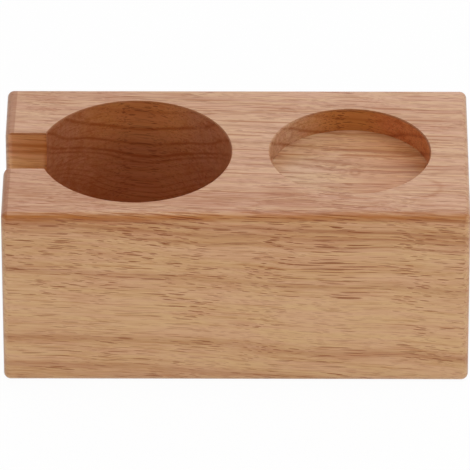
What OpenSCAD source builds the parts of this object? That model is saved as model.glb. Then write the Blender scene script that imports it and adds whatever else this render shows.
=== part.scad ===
// Espresso tamping station: one block of solid wood, 170 x 88 x 72 mm.
// A deep round pocket takes the body of a portafilter, a slot in the end wall takes its handle,
// and a shallow round recess keeps the tamper.
// Millimetres, +Z up, origin on the table under the middle of the block. X runs along the grain:
// the handle slot opens at -X and the tamper recess lies at +X. -Y is the front.

/* [Portafilter pocket] */
// Outside diameter of the portafilter's body, below its lugs
portafilter_d = 69; // [58:0.5:75]
// Free play across the pocket
portafilter_play = 1.2; // [0.4:0.1:3]
// Depth of the pocket, with room for the spouts
pocket_depth = 60; // [45:1:75]

/* [Tamper recess] */
// Diameter of the tamper's base
tamper_d = 58; // [49:0.5:60]
// Free play across the recess
tamper_play = 0.8; // [0.4:0.1:3]
// Depth of the recess
recess_depth = 9; // [5:0.5:20]

/* [Handle slot] */
// Width of the slot, which has a half-round floor
slot_w = 24; // [16:1:30]
// Depth of the slot at its middle
slot_depth = 36; // [24:1:42]

/* [Walls] */
// End wall that the slot passes through
slot_end_wall = 13; // [8:0.5:25]
// Wall between the pocket and the recess
middle_wall = 14; // [8:0.5:30]
// End wall beside the recess
recess_end_wall = 14; // [8:0.5:30]
// Thinnest wood in front of the pocket and behind it
side_wall = 8.9; // [7:0.1:20]
// Wood under the pocket
floor_t = 12; // [8:1:25]

/* [Edges] */
// Round-over of every outside edge, the mouth of the slot included
edge_r = 2.5; // [1:0.25:4]
// Chamfer sanded on the top edges of the pocket, the recess and the slot
arris = 0.4; // [0.2:0.1:1]

/* [Hidden] */

$fn = 96;
over = 1; // how far a cut runs past the face that it opens
wood = [0.76, 0.59, 0.45];

pocket_d = portafilter_d + portafilter_play;
recess_d = tamper_d + tamper_play;

block_l = slot_end_wall + pocket_d + middle_wall + recess_d + recess_end_wall;
block_w = max(pocket_d, recess_d) + 2 * side_wall;
block_h = pocket_depth + floor_t;

pocket_x = -block_l / 2 + slot_end_wall + pocket_d / 2;
recess_x = block_l / 2 - recess_end_wall - recess_d / 2;
slot_axis_z = block_h - slot_depth + slot_w / 2; // centre of the slot's round floor

// What a round-over takes off a square edge, with the edge at [0, 0] and the wood at -X and -Y.
module edge_waste_profile() {
    difference() {
        translate([-edge_r, -edge_r])
            square(edge_r + over);
        translate([-edge_r, -edge_r])
            circle(r = edge_r);
    }
}

module edge_waste(length) {
    translate([0, 0, -length / 2])
        linear_extrude(height = length)
            edge_waste_profile();
}

// The same where three edges meet: the wood left is an eighth of a ball.
module corner_waste() {
    translate([-edge_r, -edge_r, -edge_r])
        difference() {
            cube(edge_r + over);
            sphere(r = edge_r);
        }
}

// Repeats a piece at -1 and +1 along one axis by mirroring it.
module both_ways(axis) {
    children();
    mirror(axis)
        children();
}

module rounded_blank() {
    half = [block_l / 2, block_w / 2, block_h / 2];
    run = [for (h = half) 2 * (h - edge_r)];
    translate([0, 0, half[2]])
        difference() {
            cube(2 * half, center = true);
            both_ways([0, 0, 1]) {
                both_ways([0, 1, 0])
                    translate([0, half[1], half[2]])
                        rotate([90, 0, 90])
                            edge_waste(run[0]);
                both_ways([1, 0, 0])
                    translate([half[0], 0, half[2]])
                        rotate([90, 0, 0])
                            edge_waste(run[1]);
                both_ways([1, 0, 0])
                    both_ways([0, 1, 0])
                        translate(half)
                            corner_waste();
            }
            both_ways([1, 0, 0])
                both_ways([0, 1, 0])
                    translate([half[0], half[1], 0])
                        edge_waste(run[2]);
        }
}

// A round hole cut down from the top, with its rim chamfered.
module round_cut(d, depth) {
    translate([0, 0, block_h - depth])
        cylinder(d = d, h = depth + over);
    translate([0, 0, block_h - arris])
        cylinder(d1 = d, d2 = d + 2 * (arris + over), h = arris + over);
}

// The U of the handle slot, seen from the end of the block and running up past its top.
module slot_profile() {
    translate([0, slot_axis_z])
        circle(d = slot_w);
    translate([-slot_w / 2, slot_axis_z])
        square([slot_w, block_h - slot_axis_z + over]);
    polygon([
        [-slot_w / 2, block_h - arris],
        [-slot_w / 2 - arris - over, block_h + over],
        [slot_w / 2 + arris + over, block_h + over],
        [slot_w / 2, block_h - arris]
    ]);
}

// The round-over that follows the U where the slot comes out of the end of the block.
module slot_mouth_waste() {
    translate([-block_l / 2, 0, slot_axis_z]) {
        both_ways([0, 1, 0])
            translate([0, slot_w / 2, 0])
                linear_extrude(height = block_h - slot_axis_z + over)
                    rotate(180)
                        edge_waste_profile();
        rotate([-90, 0, 90])
            rotate_extrude(angle = 180)
                translate([slot_w / 2, 0])
                    mirror([1, 0])
                        edge_waste_profile();
    }
}

module handle_slot() {
    translate([-block_l / 2 - over, 0, 0])
        rotate([90, 0, 90])
            linear_extrude(height = pocket_x + block_l / 2 + over)
                slot_profile();
    slot_mouth_waste();
}

module block() {
    color(wood)
        difference() {
            rounded_blank();
            translate([pocket_x, 0, 0])
                round_cut(pocket_d, pocket_depth);
            translate([recess_x, 0, 0])
                round_cut(recess_d, recess_depth);
            handle_slot();
        }
}

block();
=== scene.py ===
"""Looks for the espresso tamping station: one block of oiled wood on a white table.

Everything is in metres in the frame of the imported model. The wood is built in millimetres from
object coordinates, so one solid grain runs through every face, the pocket and the recess.
"""
from math import radians

import bpy
from mathutils import Matrix, Vector


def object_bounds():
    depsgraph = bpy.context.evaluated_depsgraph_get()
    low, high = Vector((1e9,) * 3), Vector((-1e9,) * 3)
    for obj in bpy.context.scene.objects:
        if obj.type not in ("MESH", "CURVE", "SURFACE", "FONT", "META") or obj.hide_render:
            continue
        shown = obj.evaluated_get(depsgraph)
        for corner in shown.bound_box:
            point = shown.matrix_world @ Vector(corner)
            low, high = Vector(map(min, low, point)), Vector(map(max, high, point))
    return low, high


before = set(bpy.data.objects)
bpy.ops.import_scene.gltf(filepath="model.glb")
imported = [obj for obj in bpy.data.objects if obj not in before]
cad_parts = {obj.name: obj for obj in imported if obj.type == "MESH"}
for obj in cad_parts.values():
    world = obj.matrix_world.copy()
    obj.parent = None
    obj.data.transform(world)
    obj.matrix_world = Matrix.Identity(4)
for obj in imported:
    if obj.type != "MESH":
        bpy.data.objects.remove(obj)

CAD_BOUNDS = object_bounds()
MM = 0.001
# The block's size in millimetres. It stands on the table, centred on the other two axes.
HALF_LENGTH, HALF_WIDTH, HEIGHT = (round(most / MM, 3) for most in CAD_BOUNDS[1])
WHITE = (1, 1, 1, 1)

# The camera stands far off with a long lens, a little over 32 degrees above the table.
CAMERA_AT_MM = (17.1, -2476.1, 1600.0)
CAMERA_TURN_DEG = 0.408
CAMERA_DIP_DEG = 32.283
CAMERA_ROLL_DEG = -0.111
CAMERA_CLIP_M = (0.1, 20.0)
FRAME_PX = 470
FOCAL_PX = 7943.9
SENSOR_MM = 36.0

# The world is an even pale room, dimmer over the front and brighter over the back. Each panel has
# the direction of its middle, the range of the dot product over which it fades in, and its level.
ROOM_LEVEL = 0.64
FRONT_PANEL = ((0.0, -0.6, 0.8), (0.70, 0.95), 0.05)
BACK_PANEL = ((0.0, 0.845, 0.534), (0.80, 0.97), 0.6)

# The floor is open under the block and clear from below, so that the underside can be looked at.
FLOOR_HALF_M = 6.0
FLOOR_AT_M = -0.0001
FLOOR_UNDER_EDGE = 3.0  # how far it runs in under the block, in millimetres
FLOOR_PAPER = (0.85, 0.85, 0.85, 1)
FLOOR_GLOW_SHARE = 0.96  # the rest is lit paper, which keeps the block's shadow

# Lamps: name, where it stands, what it points at, its size and its watts.
LAMPS = [
    ("key_lamp", (0.10, -0.04, 1.35), (0, 0, 0.05), (0.5, 0.5), 4.0),
    ("right_lamp", (0.90, 0.0, 1.0), (0, 0, 0.05), (0.5, 0.5), 3.0),
    ("front_lamp", (0.10, -0.75, 1.1), (0, 0, 0.05), (0.5, 0.5), 2.4),
    ("low_lamp", (0.10, -1.2, 0.045), (0, 0, 0.035), (0.9, 0.06), 3.2),
    ("left_lamp", (-1.3, -0.5, 0.5), (0, 0, 0.03), (0.6, 0.6), 1.0),
]

# Soft borders in the block, in millimetres. Each goes from its first number to its second.
END_FACE_X = (HALF_LENGTH - 2.0, HALF_LENGTH - 4.0)  # in from an end, by distance from the middle
FRONT_OR_BACK_Y = HALF_WIDTH - 3.0  # further from the middle than this lie the front and the back
MOUTH_Y = (13.6, 12.6)  # from the end face into the mouth of the slot
MOUTH_X = 5.0 - HALF_LENGTH  # the mouth is further left than this
SLOT_X = (-70.0, -71.5)  # from the pocket into the slot
RECESS_HALF_X = (0.0, 10.0)  # from the pocket's half of the block into the recess's half
RECESS_FLOOR_X = (18.0, 65.0)  # across the floor of the recess
ABOVE_UNDERSIDE_Z = 5.0
POCKET_BROW_Z = (HEIGHT - 22.0, HEIGHT - 6.0)  # up the wall of the pocket
SLOT_WALL_Z = (HEIGHT - 13.0, HEIGHT - 7.0)  # up the wall of the slot
DEEP_Z = (HEIGHT - 12.0, HEIGHT - 32.0)  # down into the pocket
EDGE_Z = (HEIGHT - 3.4, HEIGHT - 2.5)  # up into the rounded top edges
TOP_Z = (HEIGHT - 2.0, HEIGHT - 0.2)
BROKEN_EDGE_Z = (HEIGHT - 0.6, HEIGHT - 0.4)
NEAR_FRONT_Y = (24.0 - HALF_WIDTH, 8.0 - HALF_WIDTH)  # towards the front edge of the top
RECESS_RIGHT_X = (44.0, 58.0)  # towards the right of the wall of the recess
CLOUDY_X = (40.0, 60.0)  # into the cloudier end grain on the right
ARCH_X = (60.0, 68.0)  # into the arch, which fades out on its left
# The dark border of the top at its left end, and how far it is from square to the block.
LEFT_BORDER_X = (3.2 - HALF_LENGTH, 2.8 - HALF_LENGTH)
LEFT_BORDER_SLOPE = 0.017
# Which way a face points, by one part of its normal. Each goes from its first number to its second.
FACING_UP = (0.6, 0.95)
FACING_LEFT = (0.0, -0.5)
FACING_RIGHT = (0.1, 0.8)
LEVEL = 0.7
UPRIGHT = (0.8, 0.3)
END_GRAIN = (0.2, 0.6)
END_ON = (0.10, 0.5)  # where pores turn from dashes into dots
OILED_END = (0.75, 0.98)
TURNED_FROM_END = (0.9, 0.3)  # round the mouth of the slot
AGED_LIKE_TOP = (0.4, 0.9)
DEEP_FLOOR_UP = (0.5, 0.9)
BORDER_UP = (0.1, 0.4)
ROUNDED_EDGE = (0.88, 0.50)
LONG_EDGE = (0.7, 0.2)  # from the edges over the ends to the edges along the grain
POCKET_ENDS = (0.3, 0.8)  # from the near and far wall of the pocket to its left and right
BROKEN_EDGE = (0.98, 0.85)

# The growth layers of the wood. A layer is a plane, bent by slow noise, whose height where it
# crosses the middle of the block is its level; it falls to the back and a little to the right.
LAYER_RISE_PER_Y = 0.68
LAYER_RISE_PER_X = 0.05
SLOW_RISE = 8.0
QUICK_RISE = 1.4
FIBRE_SLOPE = (0.0, 0.03, 0.03)  # what the fibres slope more than the layers, per millimetre of X
# Deep in the block the layers sag behind the pocket.
SAG_MIDDLE_X = -33.0
SAG_HALF_WIDTH = 32.0
SAG_Y = (-30.0, 0.0)
SAG_Z = (64.0, 44.0)
SAG_DEPTH = 6.5
# Dark lines between layers: level, half-width and strength. Millimetres.
DARK_LINES = [
    (-27.0, 1.2, 0.35),
    (-14.4, 1.6, 0.40),
    (14.0, 1.4, 0.35),
    (30.7, 0.6, 0.50),
    (33.7, 0.7, 0.60),
    (36.8, 0.8, 0.80),
    (44.3, 0.5, 0.80),
    (46.7, 0.4, 0.70),
    (49.0, 2.0, 0.40),
    (51.7, 0.4, 0.70),
    (53.8, 0.4, 0.60),
    (56.3, 0.5, 0.60),
    (59.7, 0.9, 0.40),
    (64.1, 0.7, 0.35),
    (67.2, 0.7, 0.80),
    (69.8, 0.9, 1.00),
    (75.9, 0.8, 1.00),
    (83.5, 0.8, 1.00),
    (89.9, 0.7, 0.50),
    (95.4, 0.6, 0.50),
]
LINE_REACH = 1.5
LINE_FADE = (0.3, 0.55, 0.5, 1.0)  # lines come and go with a noise, down to half of their strength
LINES_ON_TOP = 0.55
# Broad darker zones of the same wood.
DARK_ZONES = [
    (-29.0, 5.0, 0.22),
    (-15.0, 5.0, 0.25),
    (15.0, 5.0, 0.18),
    (23.0, 6.0, 0.24),
    (36.0, 9.0, 0.50),
    (46.4, 11.0, 0.60),
    (55.9, 9.0, 0.22),
    (72.9, 8.0, 0.22),
    (92.9, 12.0, 0.24),
]
ZONE_REACH = 1.3
ZONES_IN_WALLS = 0.6

# Noise in the grain: how long and how wide its patches are, and where in the noise it lies.
SLOW_WAVE = (80, 30, (0, 0, 0))
QUICK_WAVE = (24, 9, (7, 3, 1))
LINE_GAPS = (45, 3, (3, 9, 2))
# The same for the patterns in the fibres, with the noise's detail and where the pattern fades in.
SOFT_BANDS = ((70, 6, (2, 1, 7)), 3.0, (0.35, 0.65))
STREAKS = ((30, 0.75, (2, 6, 5)), 3.0, (0.40, 0.66))
FINE_FIBRES = ((9, 0.42, (9, 2, 6)), 2.0, (0.38, 0.70))
HUE_BANDS = ((60, 2.5, (6, 4, 9)), 2.0, (0.35, 0.65))
# Vessels: length, spacing, thickness, where in the pattern they lie, and the share that is open.
LONG_PORES = (60, 0.85, 0.25, (0.3, 0.7, 0.1), 0.80)
SHORT_PORES = (26, 0.52, 0.19, (5.3, 2.7, 8.1), 0.85)
SMALL_PORES = (9, 0.42, 0.14, (2.3, 6.7, 4.1), 0.80)
LONG_THREADS = (55, 0.98, 0.33, (1.7, 4.3, 3.9), 0.90)
SHORT_THREADS = (28, 0.62, 0.24, (8.2, 3.6, 2.4), 0.90)
SHORT_THREAD_SHARE = 0.7
VESSEL_WALL = (1.0, 0.75)  # where a vessel's soft edge lies, as a share of its radius
# The pattern of the threads is drawn out into the block behind each face, upright or level.
UPRIGHT_SHEET = (1.0, 0.04, 1.0, 1)
LEVEL_SHEET = (1.0, 0.55, 0.04, 1)
# Rings in the figure: middle, radii, half-width, strength and how ragged they are.
BIG_KNOT = ((43.6, 0.0, 63.0), (1.5, 2.0, 2.0), 0.8, 0.55, 1.0)
LITTLE_KNOT = ((39.2, 0.6, 63.0), (1.1, 1.5, 2.0), 0.8, 0.30, 1.0)
GROWTH_ARCH = ((57.5, -25.0, HEIGHT), (17.0, 8.5, 3.0), 0.11, 0.42, 0.10)
RING_NOISE_SIZE = (0.5, 0.9, 0.9)
RING_NOISE_DEPTH = 0.9

LIGHT_WOOD = (0.57, 0.330, 0.165, 1)
WARM_WOOD = (0.39, 0.155, 0.048, 1)
LINE_WOOD = (0.28, 0.080, 0.014, 1)
PORE_WOOD = (0.22, 0.050, 0.001, 1)
DEEP_PORE = (0.17, 0.028, 0.001, 1)
EDGE_WOOD = (0.33, 0.095, 0.008, 1)
# The top is a little pinker than the front and carries a painted sheen, which takes some of the orange
# out of it. These and the rest multiply the wood's colour.
FRONT_WOOD = (1.00, 1.03, 1.03, 1)
TOP_WOOD_AND_SHEEN = (0.99, 0.98, 1.15, 1)
# The floor of the recess is painted lighter and bluer on its left and darker and redder on its right:
# painted light and painted shade.
RECESS_FLOOR_PAINTED_LIGHT = (1.02, 1.10, 1.30, 1)
RECESS_FLOOR_PAINTED_SHADE = (0.96, 0.84, 0.79, 1)
YELLOW_STREAK = (1.00, 1.02, 0.96, 1)
PINK_STREAK = (1.00, 0.97, 1.03, 1)
# Cut walls soak up more oil, which turns them redder. These tints are partly that oil and partly
# painted shade of the hollows.
POCKET_WALL = (1.20, 0.93, 0.84, 1)
POCKET_SIDE = (1.10, 0.85, 0.90, 1)
POCKET_BROW = (1.38, 1.06, 0.77, 1)
RECESS_WALL = (1.27, 0.93, 0.48, 1)
# Painted shade on the right of the recess wall.
RECESS_PAINTED_SHADE = (1.30, 0.78, 0.50, 1)
# Painted light on walls of the recess that face right.
PAINTED_LIGHT_WALL = (1.16, 1.15, 1.40)
SLOT_WALL_HIGH = (1.45, 1.24, 1.01, 1)
# The lower slot wall is painted lighter: painted light.
SLOT_WALL_LOW_PAINTED_LIGHT = (1.66, 1.72, 1.67, 1)
# How much each part of the figure darkens the wood. A pair is for upright and for level faces.
SOFT_TONE = 0.20
STREAK_TONE = 0.30
FINE_TONE = (0.20, 0.30)
THREAD_TONE = (0.35, 1.0)
SLOT_THREAD_TONE = 0.7
HUE_TONE = 0.12  # on level faces only
PALER = (0.16, 0.28)
TONE_PER_X = -0.0008
RECESS_FLOOR_LIGHT_AND_SHADE = (-0.12, 0.10)  # painted light at its left and painted shade at its right
# What the front of the top adds to the streaks, to the threads and to the whole.
FRONT_STREAK_TONE = 0.38
FRONT_THREAD_TONE = 0.8
FRONT_TONE = -0.21
# End grain is cloudy. A pair is for the ends and for the walls of the hollows.
CLOUD_SIZE = (0.25, 0.45, 0.45)
CLOUD_TONE = (1.3, 2.6)
CLOUDIER_RIGHT = 1.8
WALL_END_TONE = 0.12
# How strong the pores are in pale and in dark wood, and what else makes wood count as dark.
PORE_STRENGTH = (0.46, 1.6)
DARK_ENOUGH = 0.5
SOFT_DARK = 0.4
WALL_DARK = (0.10, 0.38)  # in the pocket and in the recess
# What is left of the pores in walls, low down and high up, on level faces and in the slot.
WALL_PORES = 0.65
SMALL_PORE_STRENGTH = (0.40, 0.65)  # outside and in walls
PORES_BY_HEIGHT = (HEIGHT / 2, HEIGHT - 12.0, 0.84, 1.12)
LEVEL_PORES = 0.65
SLOT_PORES = 0.35
END_PORES = 0.40
LEFT_FACING_PORES = 0.35  # more where a wall of a hollow faces left
# How far the wood is taken towards the colour of a dark line: by the lines, by oil, by painted shade
# in the hollows and at the broken edge.
LINE_SHARE = (0.80, 0.62)  # elsewhere and on the floors of the hollows
END_OIL = 0.45
LEFT_BORDER_OIL = 0.57
WALL_OIL_AND_SHADE = 0.40
DEEP_FLOOR_SHADE = 0.8
POCKET_PAINTED_LIGHT = 0.10  # share of the painted light on right-facing walls that is kept in the pocket
BROKEN_EDGE_DARKENING = 0.9
# How dark the rounded top edges are, by streak, by hue, from left to right and over the ends.
EDGE_BY_STREAK = (0.7, 1.0)
EDGE_BY_HUE = (0.75, 1.1)
EDGE_BY_X = (-60.0, 60.0, 0.90, 0.70)
EDGE_OVER_ENDS = 0.1
ROUGHNESS = (0.32, 0.5)  # between the pores and in them
FINE_RELIEF = 0.25  # of the depth of a pore
BUMP_STRENGTH = 0.45
BUMP_DEPTH_M = 0.00005


class Nodes:
    """Short calls for building a node tree."""

    def __init__(self, tree):
        self.tree = tree
        tree.nodes.clear()

    def add(self, kind, *inputs, **settings):
        """Adds a node. inputs go to its sockets in order, and None leaves a socket as it is."""
        node = self.tree.nodes.new(kind)
        for key, value in settings.items():
            setattr(node, key, value)
        for index, value in enumerate(inputs):
            self.put(node, index, value)
        return node

    def put(self, node, socket, value):
        """Links a socket to the output given, or sets it to the plain value given."""
        if isinstance(value, bpy.types.NodeSocket):
            self.tree.links.new(value, node.inputs[socket])
        elif value is not None:
            node.inputs[socket].default_value = value

    def math(self, operation, *inputs, clamp=False):
        node = self.add("ShaderNodeMath", *inputs, operation=operation, use_clamp=clamp)
        return node.outputs[0]

    def product(self, first, *others):
        for other in others:
            first = self.math("MULTIPLY", first, other)
        return first

    def largest(self, first, *others):
        for other in others:
            first = self.math("MAXIMUM", first, other)
        return first

    def vector(self, operation, *inputs):
        return self.add("ShaderNodeVectorMath", *inputs, operation=operation).outputs[0]

    def number(self, operation, *inputs):
        """A vector operation whose result is one number."""
        node = self.add("ShaderNodeVectorMath", *inputs, operation=operation)
        return node.outputs["Value"]

    def split(self, vector):
        return tuple(self.add("ShaderNodeSeparateXYZ", vector).outputs)

    def smooth(self, value, start, end, at_start=0.0, at_end=1.0):
        """Goes smoothly from at_start to at_end while the value goes from start to end."""
        ends = (start, end, at_start, at_end) if start < end else (end, start, at_end, at_start)
        node = self.add("ShaderNodeMapRange", value, *ends, interpolation_type="SMOOTHSTEP")
        return node.outputs[0]

    def by(self, share, without, with_all):
        """without where the share is 0, with_all where it is 1."""
        return self.smooth(share, 0.0, 1.0, without, with_all)


def add_camera():
    data = bpy.data.cameras.new("camera")
    data.sensor_width = SENSOR_MM
    data.lens = FOCAL_PX / FRAME_PX * SENSOR_MM
    data.clip_start, data.clip_end = CAMERA_CLIP_M
    camera = bpy.data.objects.new("camera", data)
    turn = Matrix.Rotation(radians(CAMERA_TURN_DEG), 4, "Z")
    dip = Matrix.Rotation(radians(90 - CAMERA_DIP_DEG), 4, "X")
    roll = Matrix.Rotation(radians(CAMERA_ROLL_DEG), 4, "Z")
    place = Matrix.Translation(Vector(CAMERA_AT_MM) * MM)
    camera.matrix_world = place @ turn @ dip @ roll
    bpy.context.scene.collection.objects.link(camera)
    bpy.context.scene.camera = camera


def add_world():
    world = bpy.data.worlds.new("studio")
    world.use_nodes = True
    n = Nodes(world.node_tree)
    direction = n.add("ShaderNodeTexCoord").outputs["Generated"]

    def panel(middle, fade, outside, inside):
        return n.smooth(n.number("DOT_PRODUCT", direction, middle), *fade, outside, inside)

    front_middle, front_fade, front_level = FRONT_PANEL
    back_middle, back_fade, back_level = BACK_PANEL
    room = n.math(
        "ADD",
        panel(front_middle, front_fade, ROOM_LEVEL, front_level),
        panel(back_middle, back_fade, 0.0, back_level),
    )
    lit = n.add("ShaderNodeBackground", WHITE, room)
    seen = n.add("ShaderNodeBackground", WHITE, 1.0)
    path = n.add("ShaderNodeLightPath").outputs
    surface = n.add("ShaderNodeMixShader", path["Is Camera Ray"], lit.outputs[0], seen.outputs[0])
    n.add("ShaderNodeOutputWorld", surface.outputs[0])
    bpy.context.scene.world = world


def floor_material():
    material = bpy.data.materials.new("floor")
    material.use_nodes = True
    n = Nodes(material.node_tree)
    paper = n.add("ShaderNodeBsdfDiffuse", FLOOR_PAPER)
    glow = n.add("ShaderNodeEmission", WHITE, 1.0)
    path = n.add("ShaderNodeLightPath").outputs
    seen = n.largest(path["Is Camera Ray"], path["Is Glossy Ray"])
    share = n.product(seen, FLOOR_GLOW_SHARE)
    above = n.add("ShaderNodeMixShader", share, paper.outputs[0], glow.outputs[0])
    clear = n.add("ShaderNodeBsdfTransparent", WHITE)
    from_below = n.add("ShaderNodeNewGeometry").outputs["Backfacing"]
    surface = n.add("ShaderNodeMixShader", from_below, above.outputs[0], clear.outputs[0])
    n.add("ShaderNodeOutputMaterial", surface.outputs[0])
    return material


def add_floor():
    open_half = ((HALF_LENGTH - FLOOR_UNDER_EDGE) * MM, (HALF_WIDTH - FLOOR_UNDER_EDGE) * MM)
    corners = []
    for half_x, half_y in ((FLOOR_HALF_M, FLOOR_HALF_M), open_half):
        for side_x, side_y in ((-1, -1), (1, -1), (1, 1), (-1, 1)):
            corners.append((side_x * half_x, side_y * half_y, FLOOR_AT_M))
    mesh = bpy.data.meshes.new("floor")
    mesh.from_pydata(corners, [], [(0, 1, 5, 4), (1, 2, 6, 5), (2, 3, 7, 6), (3, 0, 4, 7)])
    mesh.materials.append(floor_material())
    floor = bpy.data.objects.new("floor", mesh)
    bpy.context.scene.collection.objects.link(floor)


def add_lamp(name, at, toward, size, watts):
    data = bpy.data.lights.new(name, "AREA")
    data.shape = "ELLIPSE"
    data.size, data.size_y = size
    data.energy = watts
    lamp = bpy.data.objects.new(name, data)
    lamp.location = at
    lamp.rotation_euler = (Vector(at) - Vector(toward)).to_track_quat("Z", "Y").to_euler()
    lamp.visible_glossy = False
    bpy.context.scene.collection.objects.link(lamp)


class Wood(Nodes):
    """The wood of the block. Places are in millimetres, and every mask runs from 0 to 1."""

    def build(self):
        self.find_place()
        self.bend_grain()
        self.find_faces()
        self.draw_figure()
        self.draw_pores()
        colour = self.mix(self.mixed_tone(), LIGHT_WOOD, WARM_WOOD)
        colour = self.aged(colour)
        colour = self.oiled_and_shaded_wood(colour)
        colour = self.edged(colour)
        colour = self.wall_tinted(colour)
        self.add_shader(colour)

    # Small tools.

    def stretched(self, vector, along, across, offset):
        scaled = self.vector("MULTIPLY", vector, (1 / along, 1 / across, 1 / across))
        return self.vector("ADD", scaled, offset)

    def noise(self, vector, detail=2.0, roughness=0.5):
        node = self.add("ShaderNodeTexNoise", vector, None, 1.0, detail, roughness)
        return node.outputs["Fac"]

    def pattern(self, patches, detail, fade):
        """A pattern in the fibres, which follows the bends of the grain."""
        noise = self.noise(self.stretched(self.fibres, *patches), detail, 0.6)
        return self.smooth(noise, *fade)

    def centred(self, value):
        return self.math("SUBTRACT", value, 0.5)

    def mix(self, factor, first, second):
        node = self.add("ShaderNodeMix", data_type="RGBA")
        for socket, value in ((0, factor), (6, first), (7, second)):
            self.put(node, socket, value)
        return node.outputs[2]

    def tinted(self, share, colour, tint):
        """The colour, multiplied by the tint where the share is 1."""
        return self.mix(share, colour, self.vector("MULTIPLY", colour, tint))

    def strongest(self, rows, reach):
        """The strongest of the growth layers in the rows at each point."""
        strengths = []
        for middle, half, strength in rows:
            off = self.math("ABSOLUTE", self.math("SUBTRACT", self.level, middle))
            strengths.append(self.smooth(off, 0.0, half * reach, strength, 0.0))
        return self.largest(*strengths)

    def vessels(self, vector, along, across, thick, offset, share):
        """Long thin vessels, cut open by the surface."""
        place = self.stretched(vector, along, across, offset)
        cells = self.add("ShaderNodeTexVoronoi", place, None, 1.0).outputs
        chance = self.add("ShaderNodeSeparateColor", cells["Color"]).outputs[0]
        widest = thick / across
        radius = self.smooth(chance, 1 - share, 1.0, 0.5 * widest, widest)
        depth = self.math("DIVIDE", cells["Distance"], radius)
        is_open = self.math("GREATER_THAN", chance, 1 - share)
        return self.product(self.smooth(depth, *VESSEL_WALL), is_open)

    def ring(self, uneven, middle, radii, width, strength, ragged):
        off = self.vector("DIVIDE", self.vector("SUBTRACT", self.place, middle), radii)
        reach = self.math("SUBTRACT", self.number("LENGTH", off), 1.0)
        off = self.math("ABSOLUTE", self.math("MULTIPLY_ADD", uneven, ragged, reach))
        return self.smooth(off, 0.0, width, strength, 0.0)

    # Where a point lies in the block and in the grain.

    def find_place(self):
        coordinates = self.add("ShaderNodeTexCoord").outputs
        self.place = self.vector("MULTIPLY", coordinates["Object"], (1 / MM, 1 / MM, 1 / MM))
        self.x, self.y, self.z = self.split(self.place)
        self.from_x, self.from_y, _ = self.split(self.vector("ABSOLUTE", self.place))
        self.facing_x, _, self.facing_z = self.split(coordinates["Normal"])
        self.sideways, _, self.level_face = self.split(self.vector("ABSOLUTE", coordinates["Normal"]))

    def bend_grain(self):
        """Grain that wanders: every layer and fibre is shifted along the layers' normal."""
        slow = self.centred(self.noise(self.stretched(self.place, *SLOW_WAVE)))
        quick = self.centred(self.noise(self.stretched(self.place, *QUICK_WAVE)))
        shift = self.product(self.x, LAYER_RISE_PER_X)
        shift = self.math("MULTIPLY_ADD", slow, SLOW_RISE, shift)
        shift = self.math("MULTIPLY_ADD", quick, QUICK_RISE, shift)
        normal = Vector((0, LAYER_RISE_PER_Y, 1)).normalized()
        layers = self.vector("ADD", self.place, self.vector("SCALE", tuple(normal), None, None, shift))
        slope = self.vector("SCALE", FIBRE_SLOPE, None, None, self.x)
        self.fibres = self.vector("ADD", layers, slope)

        _, layer_y, layer_z = self.split(layers)
        level = self.math("MULTIPLY_ADD", layer_y, LAYER_RISE_PER_Y, layer_z)
        aside = self.math("ABSOLUTE", self.math("SUBTRACT", self.x, SAG_MIDDLE_X))
        lifted = self.product(
            self.smooth(aside, 0.0, SAG_HALF_WIDTH),
            self.smooth(self.y, *SAG_Y),
            self.smooth(self.z, *SAG_Z),
        )
        self.level = self.math("MULTIPLY_ADD", lifted, -SAG_DEPTH, level)

    def find_faces(self):
        """Masks of the outer faces, the walls and the floors."""
        hollow = self.product(
            self.smooth(self.from_x, *END_FACE_X),
            self.math("LESS_THAN", self.from_y, FRONT_OR_BACK_Y),
        )
        # The mouth of the slot turns into the end face round a curve.
        mouth = self.product(
            self.smooth(self.from_y, *MOUTH_Y),
            self.smooth(self.sideways, *TURNED_FROM_END),
            self.math("LESS_THAN", self.x, MOUTH_X),
        )
        self.hollow = self.largest(hollow, mouth)
        self.outside = self.math("SUBTRACT", 1.0, self.hollow)
        self.raised = self.math("GREATER_THAN", self.z, ABOVE_UNDERSIDE_Z)
        upright = self.smooth(self.level_face, *UPRIGHT)
        self.wall = self.product(self.hollow, upright, self.raised)
        self.slot = self.product(self.wall, self.smooth(self.x, *SLOT_X))
        self.up = self.smooth(self.facing_z, *FACING_UP)
        self.top = self.smooth(self.z, *TOP_Z)
        self.floor = self.product(self.up, self.math("SUBTRACT", 1.0, self.top))
        self.near_front = self.product(self.smooth(self.y, *NEAR_FRONT_Y), self.up)

    # The figure of the wood.

    def draw_figure(self):
        gaps = self.noise(self.stretched(self.fibres, *LINE_GAPS))
        lines = self.product(self.strongest(DARK_LINES, LINE_REACH), self.smooth(gaps, *LINE_FADE))
        on_top = self.math("SUBTRACT", self.top, self.wall)
        self.lines = self.product(lines, self.by(on_top, 1.0, LINES_ON_TOP))
        zones = self.strongest(DARK_ZONES, ZONE_REACH)
        self.zones = self.product(zones, self.by(self.wall, 1.0, ZONES_IN_WALLS))
        self.soft = self.pattern(*SOFT_BANDS)
        self.streaks = self.pattern(*STREAKS)
        self.fine = self.pattern(*FINE_FIBRES)
        # Some streaks are yellower and paler, others pinker and darker.
        self.hue = self.pattern(*HUE_BANDS)

    def draw_pores(self):
        self.open_pores = self.largest(
            self.vessels(self.fibres, *LONG_PORES),
            self.vessels(self.fibres, *SHORT_PORES),
        )
        small_pores = self.vessels(self.fibres, *SMALL_PORES)
        # Threads: rows of smaller vessels, cut lengthways by each face, which read as long thin lines.
        is_level = self.math("GREATER_THAN", self.level_face, LEVEL)
        sheet = self.vector("MULTIPLY", self.fibres, self.mix(is_level, UPRIGHT_SHEET, LEVEL_SHEET))
        short_threads = self.product(self.vessels(sheet, *SHORT_THREADS), SHORT_THREAD_SHARE)
        self.threads = self.largest(self.vessels(sheet, *LONG_THREADS), short_threads)

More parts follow.
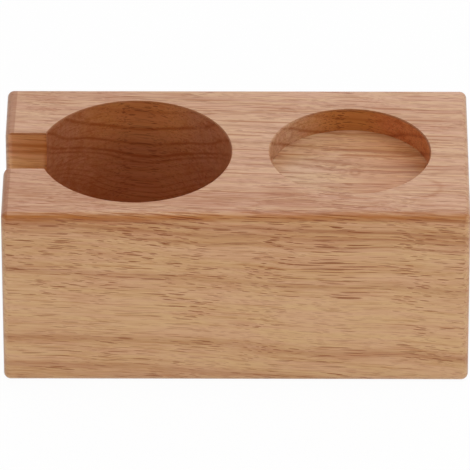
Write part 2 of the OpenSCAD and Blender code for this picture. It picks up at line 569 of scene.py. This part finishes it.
        # Dark wood holds more pores, and so do the walls of the recess.
        wall_share = self.product(self.wall, self.smooth(self.x, *RECESS_HALF_X, *WALL_DARK))
        dark = self.largest(self.zones, self.lines, self.product(self.soft, SOFT_DARK), wall_share)
        strength = self.smooth(dark, 0.0, DARK_ENOUGH, *PORE_STRENGTH)
        pore = self.math("MULTIPLY", self.open_pores, strength, clamp=True)
        pore = self.product(pore, self.by(self.wall, 1.0, WALL_PORES))
        small_pores = self.product(small_pores, self.by(self.wall, *SMALL_PORE_STRENGTH))
        pore = self.largest(pore, small_pores)
        # Seen end on they are only dots.
        dots = self.smooth(self.facing_x, *FACING_LEFT, 0.0, LEFT_FACING_PORES)
        dots = self.math("MULTIPLY_ADD", self.wall, dots, END_PORES)
        pore = self.product(pore, self.smooth(self.sideways, *END_ON, 1.0, dots))
        # They are fainter lower down, and on level faces, which cut them very flat.
        pore = self.math("MULTIPLY", pore, self.smooth(self.z, *PORES_BY_HEIGHT), clamp=True)
        pore = self.product(pore, self.by(self.up, 1.0, LEVEL_PORES))
        # The slot is cut along the grain, and shows threads more than pores.
        self.pore = self.product(pore, self.by(self.slot, 1.0, SLOT_PORES))

    def mixed_tone(self):
        """How dark the wood is between its pores and lines."""
        tone = self.math("MULTIPLY_ADD", self.soft, SOFT_TONE, self.zones)
        # The grain shows more along the front of the top.
        streaks = self.math("MULTIPLY_ADD", self.near_front, FRONT_STREAK_TONE, STREAK_TONE)
        tone = self.math("MULTIPLY_ADD", self.streaks, streaks, tone)
        tone = self.math("MULTIPLY_ADD", self.near_front, FRONT_TONE, tone)
        tone = self.math("MULTIPLY_ADD", self.fine, self.by(self.up, *FINE_TONE), tone)
        threads = self.by(self.up, *THREAD_TONE)
        threads = self.math("MULTIPLY_ADD", self.near_front, FRONT_THREAD_TONE, threads)
        threads = self.largest(threads, self.product(self.slot, SLOT_THREAD_TONE))
        tone = self.math("MULTIPLY_ADD", self.threads, threads, tone)
        tone = self.math("MULTIPLY_ADD", self.product(self.hue, self.up), HUE_TONE, tone)
        # The floor of the recess is paler on the left and darker on the right: painted light and
        # painted shade.
        across = self.smooth(self.x, *RECESS_FLOOR_X, *RECESS_FLOOR_LIGHT_AND_SHADE)
        tone = self.math("MULTIPLY_ADD", self.floor, across, tone)
        tone = self.math("ADD", tone, self.rings())
        # Level faces are paler than upright ones, and the block darkens a little towards the left.
        tone = self.math("SUBTRACT", tone, self.by(self.up, *PALER))
        tone = self.math("MULTIPLY_ADD", self.x, TONE_PER_X, tone)
        # End grain is cloudy at the scale of a few millimetres, most in hollows and on the right.
        cloudy = self.noise(self.vector("MULTIPLY", self.place, CLOUD_SIZE), 4.0, 0.7)
        cloudy = self.product(
            self.centred(cloudy),
            self.by(self.wall, *CLOUD_TONE),
            self.smooth(self.x, *CLOUDY_X, 1.0, CLOUDIER_RIGHT),
        )
        cloudy = self.math("MULTIPLY_ADD", self.wall, WALL_END_TONE, cloudy)
        return self.math("MULTIPLY_ADD", cloudy, self.smooth(self.sideways, *END_GRAIN), tone)

    def rings(self):
        """A small twin knot in the floor of the recess and a growth arch beside it."""
        uneven = self.noise(self.vector("MULTIPLY", self.place, RING_NOISE_SIZE), 1.0)
        uneven = self.product(self.centred(uneven), RING_NOISE_DEPTH)
        knots = self.largest(self.ring(uneven, *BIG_KNOT), self.ring(uneven, *LITTLE_KNOT))
        arch = self.product(self.ring(uneven, *GROWTH_ARCH), self.smooth(self.x, *ARCH_X))
        return self.math("ADD", knots, arch)

    # Colour.

    def aged(self, colour):
        """The wood's colour on each face, with a painted sheen on the top and painted light and shade
        across the floor of the recess, its hue from streak to streak and its dark lines.
        """
        # Painted light on the left of the recess floor, painted shade on its right.
        floor_wood = self.mix(self.smooth(self.x, *RECESS_FLOOR_X), RECESS_FLOOR_PAINTED_LIGHT, RECESS_FLOOR_PAINTED_SHADE)
        floor_wood = self.mix(self.smooth(self.x, *RECESS_HALF_X), FRONT_WOOD, floor_wood)
        # The top's tint carries a painted sheen as well as its pinker colour.
        level_wood = self.mix(self.top, floor_wood, TOP_WOOD_AND_SHEEN)
        tint = self.mix(self.smooth(self.facing_z, *AGED_LIKE_TOP), FRONT_WOOD, level_wood)
        colour = self.vector("MULTIPLY", colour, tint)
        colour = self.vector("MULTIPLY", colour, self.mix(self.hue, YELLOW_STREAK, PINK_STREAK))
        return self.mix(self.product(self.lines, self.by(self.floor, *LINE_SHARE)), colour, LINE_WOOD)

    def oiled_and_shaded_wood(self, colour):
        """End grain, cut walls and the deep floor are darker. End grain drinks more oil; the cut walls
        are partly oiled and partly painted shade, and the deep floor of the pocket is painted shade.

        Walls are darkened least where they face right, into the light, in the recess: painted light
        there, and a little of it in the pocket.
        """
        # Right-facing walls in the recess, and a little in the pocket, are kept lighter: painted
        # light.
        painted_light_share = self.smooth(self.x, *RECESS_HALF_X, POCKET_PAINTED_LIGHT, 1.0)
        self.pale = self.product(self.smooth(self.facing_x, *FACING_RIGHT), painted_light_share)
        self.away = self.math("SUBTRACT", 1.0, self.pale)
        # Deeper in the pocket the floor is darker: painted shade.
        deep = self.smooth(self.z, *DEEP_Z, 0.0, DEEP_FLOOR_SHADE)
        facing_up = self.smooth(self.facing_z, *DEEP_FLOOR_UP)
        deep_floor = self.product(facing_up, deep, self.hollow, self.raised)
        # Walls, less where they face the light, and the deep floor: partly oil, partly painted shade.
        self.oiled = self.largest(self.product(self.wall, self.away), deep_floor)
        end = self.product(self.smooth(self.sideways, *OILED_END, 0.0, END_OIL), self.outside)
        square = self.math("MULTIPLY_ADD", self.y, -LEFT_BORDER_SLOPE, self.x)
        border = self.product(
            self.smooth(square, *LEFT_BORDER_X, 0.0, LEFT_BORDER_OIL),
            self.smooth(self.facing_z, *BORDER_UP),
        )
        darker = self.largest(end, border, self.product(self.oiled, WALL_OIL_AND_SHADE))
        return self.mix(darker, colour, LINE_WOOD)

    def edged(self, colour):
        """The rounded outer edges at the top are darker, with strokes of open grain."""
        edge = self.product(
            self.smooth(self.facing_z, *ROUNDED_EDGE),
            self.smooth(self.z, *EDGE_Z),
            self.smooth(self.sideways, *LONG_EDGE, EDGE_OVER_ENDS, 1.0),
            self.by(self.streaks, *EDGE_BY_STREAK),
        )
        edge = self.math("MULTIPLY", edge, self.by(self.hue, *EDGE_BY_HUE), clamp=True)
        edge = self.product(edge, self.smooth(self.x, *EDGE_BY_X), self.outside)
        self.edge = edge
        strokes = self.product(self.largest(self.open_pores, self.threads), edge)
        self.pore = self.largest(self.pore, strokes)
        return self.mix(edge, colour, EDGE_WOOD)

    def wall_tinted(self, colour):
        """The walls' tints, partly oil and partly painted shade and light, the thin broken edge round
        the hollows, and the pores.
        """
        # The slot wall is painted lighter low down: painted light.
        slot_wall = self.mix(self.smooth(self.z, *SLOT_WALL_Z), SLOT_WALL_LOW_PAINTED_LIGHT, SLOT_WALL_HIGH)
        pocket_wall = self.mix(self.smooth(self.z, *POCKET_BROW_Z), POCKET_WALL, POCKET_BROW)
        pocket_wall = self.mix(self.smooth(self.sideways, *POCKET_ENDS), pocket_wall, POCKET_SIDE)
        # Painted shade towards the right of the recess wall.
        recess_wall = self.mix(self.smooth(self.x, *RECESS_RIGHT_X), RECESS_WALL, RECESS_PAINTED_SHADE)
        recess_half = self.smooth(self.x, *RECESS_HALF_X)
        round_wall = self.mix(recess_half, pocket_wall, recess_wall)
        # The walls' tints: partly oil, partly painted shade of the hollows.
        colour = self.tinted(self.oiled, colour, self.mix(self.slot, round_wall, slot_wall))
        # Painted light on walls of the recess that face right.
        colour = self.tinted(self.product(self.wall, self.pale, recess_half), colour, PAINTED_LIGHT_WALL)
        # The thin broken edge round the hollows is darker, except on walls of the recess that face
        # right.
        broken = self.product(
            self.smooth(self.facing_z, *BROKEN_EDGE, 0.0, BROKEN_EDGE_DARKENING),
            self.away,
            self.hollow,
            self.smooth(self.z, *BROKEN_EDGE_Z),
        )
        colour = self.mix(broken, colour, LINE_WOOD)
        pore_wood = self.mix(self.largest(self.oiled, self.edge), PORE_WOOD, DEEP_PORE)
        return self.mix(self.pore, colour, pore_wood)

    def add_shader(self, colour):
        relief = self.math("MULTIPLY_ADD", self.pore, -1.0, self.product(self.fine, FINE_RELIEF))
        bump = self.add("ShaderNodeBump", BUMP_STRENGTH, BUMP_DEPTH_M)
        self.put(bump, "Height", relief)
        shader = self.add("ShaderNodeBsdfPrincipled")
        self.put(shader, "Base Color", colour)
        self.put(shader, "Roughness", self.by(self.pore, *ROUGHNESS))
        self.put(shader, "IOR", 1.5)
        self.put(shader, "Specular IOR Level", 0.5)
        self.put(shader, "Normal", bump.outputs[0])
        self.add("ShaderNodeOutputMaterial", shader.outputs[0])


def wood_material():
    material = bpy.data.materials.new("wood")
    material.use_nodes = True
    Wood(material.node_tree).build()
    return material


add_camera()
add_world()
add_floor()
for lamp in LAMPS:
    add_lamp(*lamp)
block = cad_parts["block"]
block.data.materials.clear()
block.data.materials.append(wood_material())

bpy.context.scene.view_settings.view_transform = "Standard"
